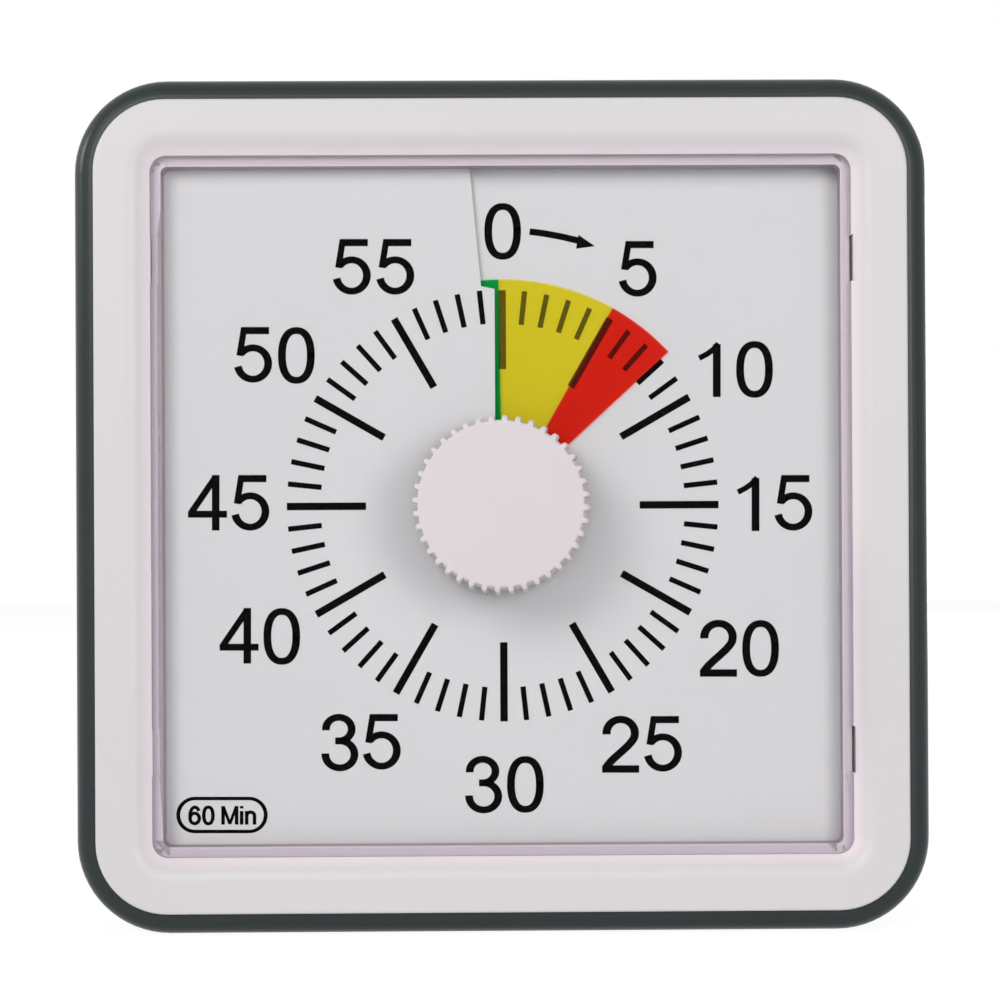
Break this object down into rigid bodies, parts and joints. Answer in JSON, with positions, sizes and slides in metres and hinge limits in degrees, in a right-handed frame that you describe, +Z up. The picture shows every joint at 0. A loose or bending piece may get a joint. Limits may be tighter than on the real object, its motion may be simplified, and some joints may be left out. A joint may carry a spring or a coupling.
{
  "type": "visual countdown timer",
  "caption": "Square desk and wall timer with a clear window, a printed minute dial, a coloured film disc that winds out of a slit in the dial, and a ribbed turning knob.",
  "frame": {"origin": "centre of the bounding box's bottom face, on the surface that the timer stands on", "axes": "+X to the right seen from the front, -Y out of the dial towards the reader, +Z up"},
  "size_m": [0.19, 0.0476, 0.19],
  "materials": {
    "white_abs": "fine satin, warm white",
    "white_knob_abs": "satin, warm white",
    "charcoal_abs": "satin, near black",
    "clear_window": "clear, polished",
    "printed_card": "matt white card printed in black",
    "colour_film": "translucent film in red, yellow and green",
    "zinc_steel": "zinc plated",
    "nickel_steel": "nickel plated",
    "brass": "turned",
    "acetal": "natural acetal",
    "black_abs": "fine matt",
    "copper_wire": "enamelled copper wire",
    "soft_iron": "punched",
    "cell_jacket": "shrink sleeve, plain",
    "circuit_laminate": "solder mask",
    "chip_epoxy": "moulded epoxy",
    "ferrite": "sintered"
  },
  "bodies": {
    "case": {"front_bezel": "white_abs", "window": "clear_window", "dial_card": "printed_card", "card_carrier": "white_abs", "dial_chassis": "white_abs", "chassis_screws": "zinc_steel", "rear_housing": "charcoal_abs", "case_screws": "zinc_steel", "movement_base": "black_abs", "movement_cover": "black_abs", "centre_bush": "brass", "mounting_nut": "brass", "coil_bobbin": "acetal", "coil_winding": "copper_wire", "stator": "soft_iron", "battery": "cell_jacket", "battery_spring": "nickel_steel", "battery_contact": "nickel_steel", "circuit_board": "circuit_laminate", "controller_chip": "chip_epoxy", "crystal": "nickel_steel", "switch_body": "black_abs", "board_screws": "zinc_steel", "buzzer_cup": "black_abs", "buzzer_disc": "brass", "stand_pin": "nickel_steel"},
    "dial": {"knob": "white_knob_abs", "spindle": "brass", "clutch_spring": "nickel_steel"},
    "disc": {"disc_hub": "acetal", "time_disc": "colour_film"},
    "centre_wheel": {"centre_wheel": "acetal"},
    "third_wheel": {"third_wheel": "acetal"},
    "second_wheel": {"second_wheel": "acetal"},
    "rotor": {"rotor_pinion": "acetal", "rotor_magnet": "ferrite"},
    "slider": {"switch_slider": "white_abs"},
    "stand": {"stand": "charcoal_abs"},
    "door": {"battery_door": "charcoal_abs"}
  },
  "joints": [
    {"name": "dial_turn", "type": "hinge", "parent": "case", "child": "dial", "pos_m": [0, 0, 0.095], "axis": [0, 1, 0], "range_deg": [-46.02, 313.98]},
    {"name": "disc_lift", "type": "slide", "parent": "dial", "child": "disc", "axis": [0, -1, 0], "range_m": [-0.00021, 0.0014]},
    {"name": "rotor_turn", "type": "hinge", "parent": "case", "child": "rotor", "pos_m": [-0.01309, 0, 0.08359], "axis": [0, 1, 0], "continuous": true},
    {"name": "second_wheel_turn", "type": "hinge", "parent": "case", "child": "second_wheel", "pos_m": [-0.01616, 0, 0.09205], "axis": [0, 1, 0], "continuous": true},
    {"name": "third_wheel_turn", "type": "hinge", "parent": "case", "child": "third_wheel", "pos_m": [-0.01247, 0, 0.1022], "axis": [0, 1, 0], "continuous": true},
    {"name": "centre_wheel_turn", "type": "hinge", "parent": "case", "child": "centre_wheel", "pos_m": [0, 0, 0.095], "axis": [0, 1, 0], "continuous": true},
    {"name": "volume_slide", "type": "slide", "parent": "case", "child": "slider", "axis": [0, 0, 1], "range_m": [-0.003, 0.003]},
    {"name": "stand_fold", "type": "hinge", "parent": "case", "child": "stand", "pos_m": [0, 0.02175, 0.062], "axis": [1, 0, 0], "range_deg": [0, 30]},
    {"name": "door_swing", "type": "hinge", "parent": "case", "child": "door", "pos_m": [0, 0.023, 0.1533], "axis": [1, 0, 0], "range_deg": [0, 60]}
  ],
  "couplings": [
    {"joint": "disc_lift", "follows": "dial_turn", "m_per_rad": 0.00025465},
    {"joint": "second_wheel_turn", "follows": "rotor_turn", "ratio": -0.2},
    {"joint": "third_wheel_turn", "follows": "rotor_turn", "ratio": 0.04},
    {"joint": "centre_wheel_turn", "follows": "rotor_turn", "ratio": -0.008}
  ]
}
